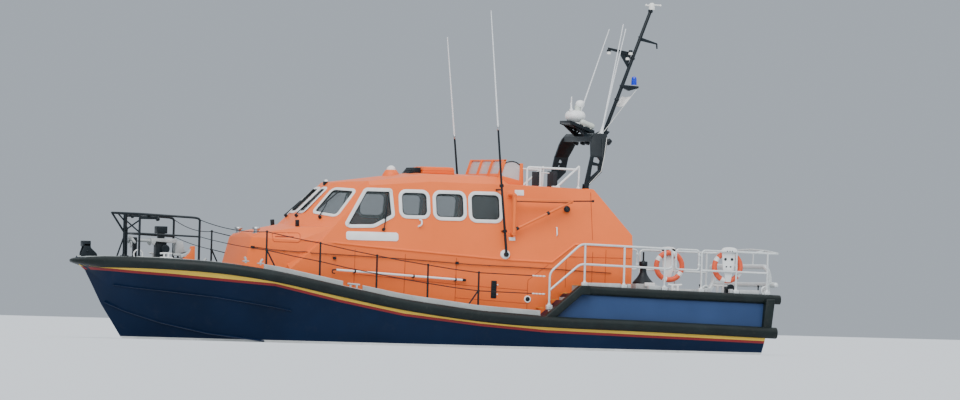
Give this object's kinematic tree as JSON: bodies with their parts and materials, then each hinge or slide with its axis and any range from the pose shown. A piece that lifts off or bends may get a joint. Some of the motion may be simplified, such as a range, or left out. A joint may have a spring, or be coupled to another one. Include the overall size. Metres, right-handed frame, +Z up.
{
  "type": "all-weather lifeboat",
  "caption": "Decked rescue motor boat with a raked wheelhouse, upper steering position, folding mast, rubber belt fender, deck rails, shafts, screws and rudders.",
  "frame": {"origin": "amidships on the centreline at the waterline, on the mount named waterline", "axes": "+X to the bow, +Y to port, +Z up"},
  "size_m": [16.2719, 5.4, 9.43],
  "materials": {
    "hull_paint": "gloss navy topsides",
    "fender_rubber": "matt black-green rubber",
    "house_paint": "satin orange",
    "cabin_lining": "matt grey",
    "seat_cover": "dark seat cover",
    "window_glass": "clear safety glass",
    "white_plastic": "gloss white",
    "black_paint": "satin black",
    "white_paint": "satin white",
    "aerial_rod": "satin off-white",
    "rail_alloy": "brushed, weathered",
    "shaft_steel": "brushed",
    "propeller_bronze": "machined bronze",
    "bottom_paint": "matt white bottom paint",
    "deck_grey": "matt pale grey",
    "vent_steel": "brushed",
    "buoy_orange": "matt orange-red"
  },
  "bodies": {
    "root": {"hull": "hull_paint", "fender": "fender_rubber", "wheelhouse": "house_paint", "cabin_sole": "cabin_lining", "helm_console": "cabin_lining", "crew_seats": "seat_cover", "front_windows": "window_glass", "raft_locker": "house_paint", "roof_dome": "white_plastic", "upper_screen": "house_paint", "upper_panes": "window_glass", "upper_helm": "house_paint", "upper_seats": "seat_cover", "davit_hinge": "house_paint", "boat_hook": "white_paint", "pulpit": "black_paint", "anchor_gear": "black_paint", "bow_fairlead": "black_paint", "stern_rail": "rail_alloy", "stern_hoop": "rail_alloy", "tow_post": "black_paint", "stern_winch": "black_paint", "shaft_line_port": "shaft_steel", "shaft_line_starboard": "shaft_steel", "toe_rail_port": "deck_grey", "toe_rail_starboard": "deck_grey", "side_windows_port": "window_glass", "side_windows_starboard": "window_glass", "quarter_window_port": "window_glass", "quarter_window_starboard": "window_glass", "upper_rail_port": "white_paint", "upper_rail_starboard": "white_paint", "side_whip_port": "aerial_rod", "side_whip_starboard": "aerial_rod", "vent_port": "vent_steel", "vent_starboard": "vent_steel", "guard_rail_port": "black_paint", "guard_rail_starboard": "black_paint", "aft_rail_port": "rail_alloy", "aft_rail_starboard": "rail_alloy", "lifebuoy_port": "buoy_orange", "lifebuoy_starboard": "buoy_orange"},
    "mast": {"mast_arch": "black_paint", "mast_pole": "black_paint", "radome": "white_plastic", "mast_canister": "white_plastic", "mast_whip_1": "aerial_rod", "mast_whip_2": "aerial_rod", "mast_whip_3": "aerial_rod"},
    "davit": {"davit_boom": "house_paint"},
    "after_door": {"wheelhouse_door": "house_paint"},
    "stern_door": {"transom_door": "hull_paint"},
    "gate_port": {"rail_gate_port": "rail_alloy"},
    "gate_starboard": {"rail_gate_starboard": "rail_alloy"},
    "screw_port": {"propeller_port": "propeller_bronze"},
    "screw_starboard": {"propeller_starboard": "propeller_bronze"},
    "rudder_blade_port": {"rudder_port": "bottom_paint"},
    "rudder_blade_starboard": {"rudder_starboard": "bottom_paint"}
  },
  "joints": [
    {"name": "mast_fold", "type": "hinge", "parent": "root", "child": "mast", "pos_m": [-3.655, 0, 3.755], "axis": [0, -1, 0], "range_deg": [0, 50]},
    {"name": "davit_swing", "type": "hinge", "parent": "root", "child": "davit", "pos_m": [-1.76, 1.9, 3], "axis": [0, 0, 1], "range_deg": [-90, 0]},
    {"name": "after_door_hinge", "type": "hinge", "parent": "root", "child": "after_door", "pos_m": [-3.9124, 0.357, 2.4], "axis": [0, 0, 1], "range_deg": [-95, 0]},
    {"name": "stern_door_hinge", "type": "hinge", "parent": "root", "child": "stern_door", "pos_m": [-7.6856, 0, 0.2604], "axis": [0, -1, 0], "range_deg": [0, 90]},
    {"name": "gate_port_hinge", "type": "hinge", "parent": "root", "child": "gate_port", "pos_m": [-6.19, 2.2004, 2.05], "axis": [0, 0, 1], "range_deg": [-95, 0]},
    {"name": "gate_starboard_hinge", "type": "hinge", "parent": "root", "child": "gate_starboard", "pos_m": [-6.19, -2.2004, 2.05], "axis": [0, 0, 1], "range_deg": [0, 95]},
    {"name": "screw_port_spin", "type": "hinge", "parent": "root", "child": "screw_port", "pos_m": [-6.42, 1.08, -0.96], "axis": [0.9962, 0, 0.0872], "continuous": true},
    {"name": "screw_starboard_spin", "type": "hinge", "parent": "root", "child": "screw_starboard", "pos_m": [-6.42, -1.08, -0.96], "axis": [0.9962, 0, 0.0872], "continuous": true},
    {"name": "rudder_port_turn", "type": "hinge", "parent": "root", "child": "rudder_blade_port", "pos_m": [-7.12, 1.08, -1], "axis": [0, 0, 1], "range_deg": [-35, 35]},
    {"name": "rudder_starboard_turn", "type": "hinge", "parent": "root", "child": "rudder_blade_starboard", "pos_m": [-7.12, -1.08, -1], "axis": [0, 0, 1], "range_deg": [-35, 35]}
  ],
  "couplings": [
    {"joint": "rudder_starboard_turn", "follows": "rudder_port_turn", "ratio": 1}
  ]
}
